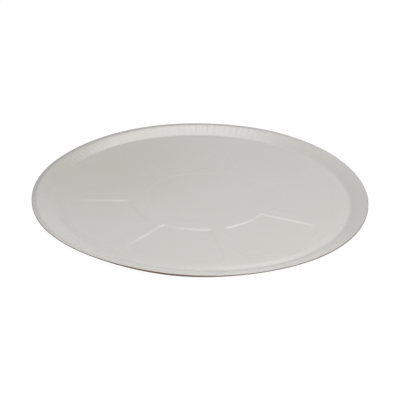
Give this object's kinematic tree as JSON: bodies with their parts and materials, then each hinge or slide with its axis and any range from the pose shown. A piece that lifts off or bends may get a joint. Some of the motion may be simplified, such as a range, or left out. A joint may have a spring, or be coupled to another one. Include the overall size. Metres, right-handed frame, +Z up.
{
  "type": "paper pizza tray",
  "caption": "Shallow round tray of pressed paperboard, with a pleated sloping rim, a turned lip, and a floor of recessed panels between raised ribs.",
  "frame": {"origin": "centre of the face that the tray rests on, under the middle of its floor", "axes": "+Z up, out of the tray's hollow; +X to the right and +Y away from the viewer of the picture"},
  "size_m": [0.36, 0.36, 0.0066],
  "materials": {
    "board": "smooth off-white coated upper face, with brown board at the cut edge and underneath"
  },
  "bodies": {
    "root": {"tray": "board"}
  },
  "joints": []
}
